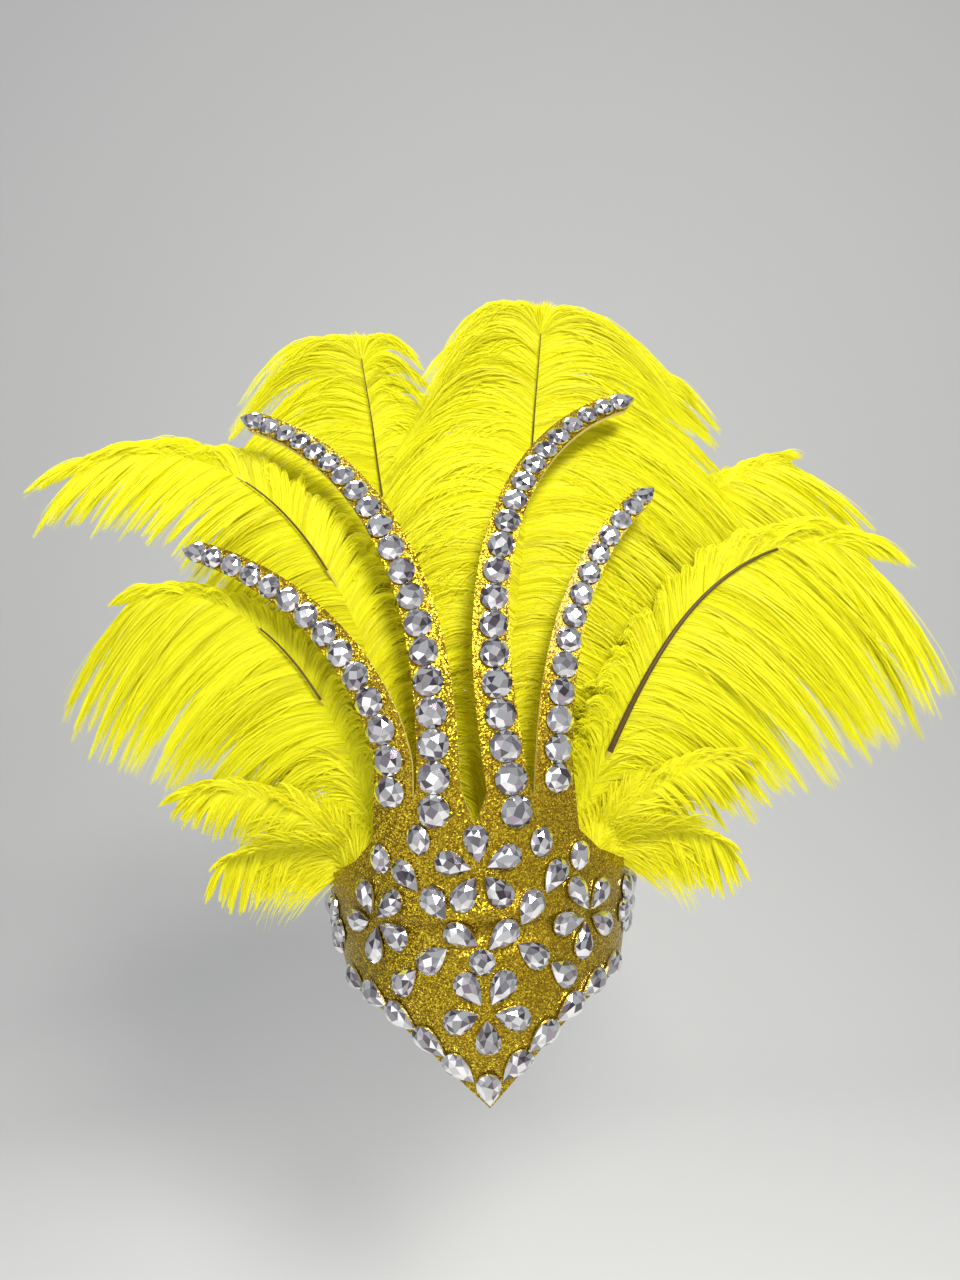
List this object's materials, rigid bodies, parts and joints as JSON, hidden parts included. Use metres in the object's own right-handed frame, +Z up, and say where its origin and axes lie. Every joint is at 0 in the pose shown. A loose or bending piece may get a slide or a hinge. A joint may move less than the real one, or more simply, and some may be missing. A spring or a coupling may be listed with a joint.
{
  "type": "carnival feather headdress",
  "caption": "Gold glitter-foam headdress with four curved tines, clear cut stones in rows and flowers, yellow ostrich plumes behind and a thin pale strap round the back of the head.",
  "frame": {"origin": "middle of the head at the height of the band, where the headdress sits", "axes": "+Z up, the wearer faces -Y, +X to the right of someone who looks at the front"},
  "size_m": [0.4998, 0.1972, 0.4318],
  "materials": {
    "glitter_foam": "gold glitter on foam sheet",
    "stone": "clear cut stone with a silver back",
    "plume": "dyed ostrich feather",
    "side_feather": "dyed fluffy feather",
    "strap": "woven elastic"
  },
  "bodies": {
    "root": {"chain_stone_lower_left_1": "stone", "chain_stone_lower_left_2": "stone", "chain_stone_lower_right_1": "stone", "chain_stone_lower_right_2": "stone", "chain_stone_upper_left_1": "stone", "chain_stone_upper_left_2": "stone", "chain_stone_upper_left_3": "stone", "chain_stone_upper_right_1": "stone", "chain_stone_upper_right_2": "stone", "chain_stone_upper_right_3": "stone", "foam_shield": "glitter_foam", "head_strap": "strap", "middle_stone": "stone", "oval_stone_root_left": "stone", "oval_stone_root_right": "stone", "oval_stone_shoulder_left": "stone", "oval_stone_shoulder_right": "stone", "petal_stone_left_1": "stone", "petal_stone_left_2": "stone", "petal_stone_left_3": "stone", "petal_stone_left_4": "stone", "petal_stone_left_5": "stone", "petal_stone_lower_1": "stone", "petal_stone_lower_2": "stone", "petal_stone_lower_3": "stone", "petal_stone_lower_4": "stone", "petal_stone_lower_5": "stone", "petal_stone_right_1": "stone", "petal_stone_right_2": "stone", "petal_stone_right_3": "stone", "petal_stone_right_4": "stone", "petal_stone_right_5": "stone", "petal_stone_upper_1": "stone", "petal_stone_upper_2": "stone", "petal_stone_upper_3": "stone", "petal_stone_upper_4": "stone", "petal_stone_upper_5": "stone", "plume_left_centre": "plume", "plume_left_lower": "plume", "plume_left_upper": "plume", "plume_right_centre": "plume", "plume_right_inner": "plume", "plume_right_lower": "plume", "plume_right_upper": "plume", "plume_top_centre": "plume", "point_stone": "stone", "rim_row_left": "stone", "rim_row_right": "stone", "side_feathers_left_lower": "side_feather", "side_feathers_left_upper": "side_feather", "side_feathers_right_lower": "side_feather", "side_feathers_right_upper": "side_feather", "stone_row_inner_left": "stone", "stone_row_inner_right": "stone", "stone_row_outer_left": "stone", "stone_row_outer_right": "stone", "temple_flower_left": "stone", "temple_flower_right": "stone"}
  },
  "joints": []
}
